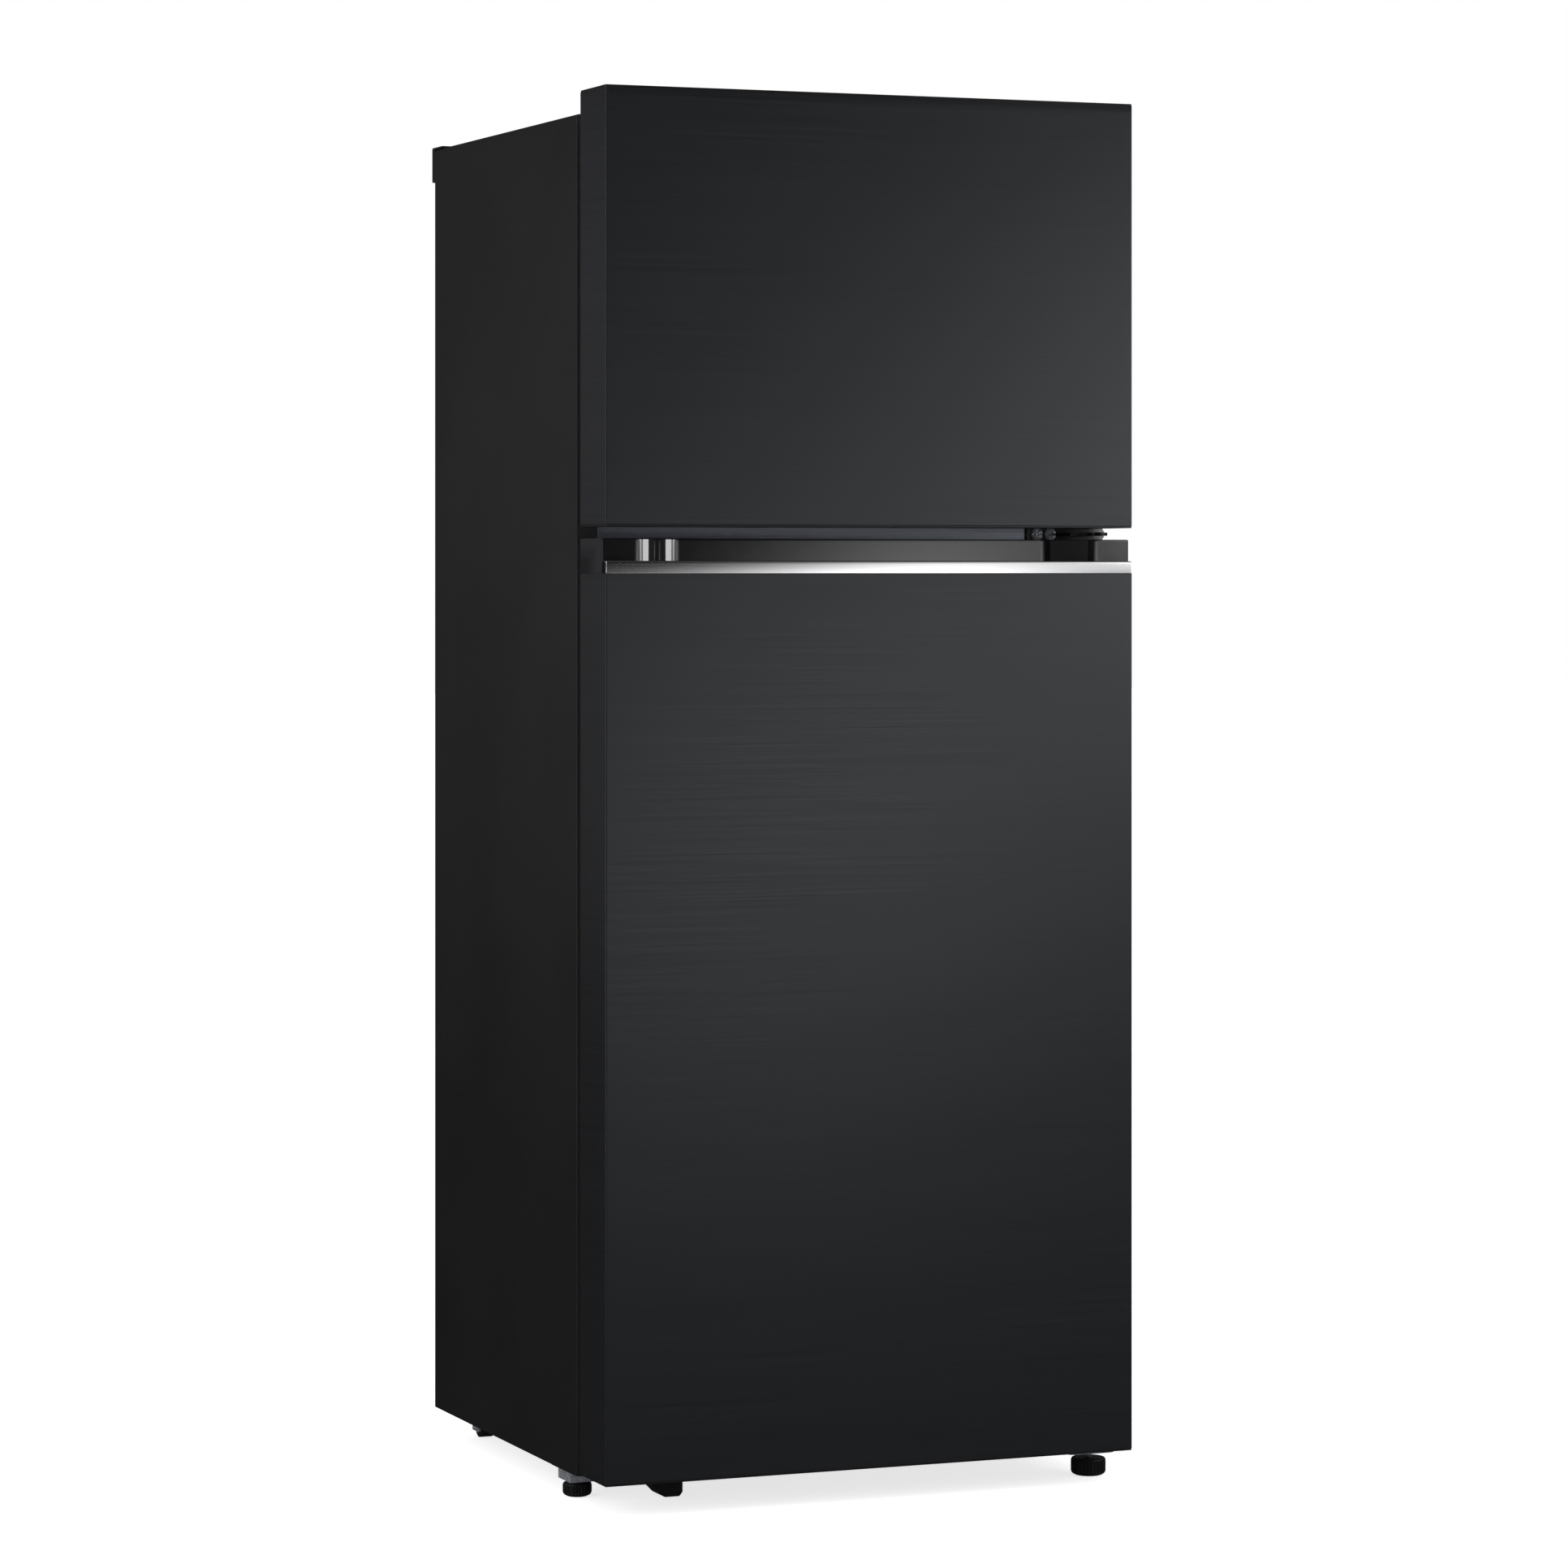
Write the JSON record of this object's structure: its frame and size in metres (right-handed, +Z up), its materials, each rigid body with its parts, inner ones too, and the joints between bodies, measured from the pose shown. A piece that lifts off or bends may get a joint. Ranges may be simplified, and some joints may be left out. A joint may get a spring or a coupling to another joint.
{
  "type": "top freezer refrigerator",
  "caption": "Free-standing two-door refrigerator: freezer above, larger fridge compartment below, both doors hinged on the right, with a finger recess and bright grip trim between them.",
  "frame": {"origin": "middle of the footprint on the floor", "axes": "+Z up, the doors face -Y, +X towards the hinge side"},
  "size_m": [0.7, 0.677, 1.724],
  "materials": {
    "door_skin": "satin black with fine level hairline",
    "case_paint": "satin black",
    "bare_steel": "zinc plated",
    "dark_steel": "black coated",
    "rail_steel": "satin grey",
    "foam": "rigid foam",
    "liner": "white, semi-gloss",
    "black_plastic": "moulded black",
    "gloss_black": "mirror gloss",
    "bright_trim": "bright",
    "gasket": "soft matt",
    "clear_plastic": "clear",
    "blue_plastic": "tinted",
    "shelf_glass": "toughened",
    "fin_metal": "plain"
  },
  "bodies": {
    "cabinet": {"outer_case": "case_paint", "back_panel": "bare_steel", "base_pan": "bare_steel", "insulation_foam": "foam", "freezer_liner": "liner", "fridge_liner": "liner", "centre_rail": "rail_steel", "top_hinge": "bare_steel", "top_hinge_cover": "black_plastic", "centre_hinge": "dark_steel", "bottom_hinge": "bare_steel", "hinge_screws": "bare_steel", "left_leg_bracket": "bare_steel", "support_block": "black_plastic", "rear_grips": "black_plastic", "machine_cover": "dark_steel", "compressor_tray": "bare_steel", "roller_axles": "bare_steel", "compressor": "dark_steel", "condenser": "dark_steel", "condenser_motor": "black_plastic", "drip_tray": "black_plastic", "cord_gland": "gasket", "evaporator": "fin_metal", "evaporator_cover": "liner", "evaporator_motor": "black_plastic", "freezer_shelf": "liner", "ice_rack": "liner", "duct_cover": "liner", "control_housing": "liner", "lamp_lens": "clear_plastic", "shelf_frames": "liner", "shelf_glass": "shelf_glass"},
    "freezer_door": {"freezer_door_panel": "door_skin", "freezer_door_foam": "foam", "freezer_door_liner": "liner", "freezer_door_gasket": "gasket", "freezer_door_caps": "black_plastic", "freezer_door_bins": "clear_plastic"},
    "fridge_door": {"fridge_door_panel": "door_skin", "fridge_door_foam": "foam", "fridge_door_liner": "liner", "fridge_door_gasket": "gasket", "fridge_door_caps": "black_plastic", "fridge_door_bins": "clear_plastic", "handle_recess": "gloss_black", "handle_trim": "bright_trim"},
    "crisper_left_body": {"crisper_left": "clear_plastic"},
    "crisper_right_body": {"crisper_right": "clear_plastic"},
    "chill_drawer_body": {"chill_drawer": "clear_plastic"},
    "ice_tray_body": {"ice_tray": "blue_plastic"},
    "ice_bin_body": {"ice_bin": "clear_plastic"},
    "temperature_knob_body": {"temperature_knob": "blue_plastic"},
    "airflow_slider_body": {"airflow_slider": "blue_plastic"},
    "condenser_fan_body": {"condenser_fan": "blue_plastic"},
    "evaporator_fan_body": {"evaporator_fan": "blue_plastic"},
    "foot_left_body": {"foot_left": "black_plastic"},
    "foot_right_body": {"foot_right": "black_plastic"},
    "roller_left_body": {"roller_left": "black_plastic"},
    "roller_right_body": {"roller_right": "black_plastic"}
  },
  "joints": [
    {"name": "freezer_door_hinge", "type": "hinge", "parent": "cabinet", "child": "freezer_door", "pos_m": [0.326, -0.2885, 1.724], "axis": [0, 0, 1], "range_deg": [0, 120]},
    {"name": "fridge_door_hinge", "type": "hinge", "parent": "cabinet", "child": "fridge_door", "pos_m": [0.326, -0.2885, 0.04], "axis": [0, 0, 1], "range_deg": [0, 120]},
    {"name": "crisper_left_slide", "type": "slide", "parent": "cabinet", "child": "crisper_left_body", "axis": [0, -1, 0], "range_m": [0, 0.045]},
    {"name": "crisper_right_slide", "type": "slide", "parent": "cabinet", "child": "crisper_right_body", "axis": [0, -1, 0], "range_m": [0, 0.045]},
    {"name": "chill_drawer_slide", "type": "slide", "parent": "cabinet", "child": "chill_drawer_body", "axis": [0, -1, 0], "range_m": [0, 0.045]},
    {"name": "ice_bin_slide", "type": "slide", "parent": "cabinet", "child": "ice_bin_body", "axis": [0, -1, 0], "range_m": [0, 0.045]},
    {"name": "ice_tray_twist", "type": "hinge", "parent": "cabinet", "child": "ice_tray_body", "pos_m": [-0.231, -0.0805, 1.57285], "axis": [0, 1, 0], "range_deg": [0, 150]},
    {"name": "temperature_knob_turn", "type": "hinge", "parent": "cabinet", "child": "temperature_knob_body", "pos_m": [0.07, -0.1065, 1.13425], "axis": [0, 1, 0], "range_deg": [-135, 135]},
    {"name": "airflow_slide", "type": "slide", "parent": "cabinet", "child": "airflow_slider_body", "axis": [1, 0, 0], "range_m": [0, 0.04]},
    {"name": "condenser_fan_spin", "type": "hinge", "parent": "cabinet", "child": "condenser_fan_body", "pos_m": [0.022, 0.2215, 0.148], "axis": [1, 0, 0], "continuous": true},
    {"name": "evaporator_fan_spin", "type": "hinge", "parent": "cabinet", "child": "evaporator_fan_body", "pos_m": [0, 0.2235, 1.51625], "axis": [0, 1, 0], "continuous": true},
    {"name": "roller_left_spin", "type": "hinge", "parent": "cabinet", "child": "roller_left_body", "pos_m": [-0.295, 0.2825, 0.015], "axis": [1, 0, 0], "continuous": true},
    {"name": "roller_right_spin", "type": "hinge", "parent": "cabinet", "child": "roller_right_body", "pos_m": [0.295, 0.2825, 0.015], "axis": [1, 0, 0], "continuous": true},
    {"name": "foot_left_screw", "type": "slide", "parent": "cabinet", "child": "foot_left_body", "axis": [0, 0, -1], "range_m": [0, 0.005]},
    {"name": "foot_right_screw", "type": "slide", "parent": "cabinet", "child": "foot_right_body", "axis": [0, 0, -1], "range_m": [0, 0.005]}
  ]
}
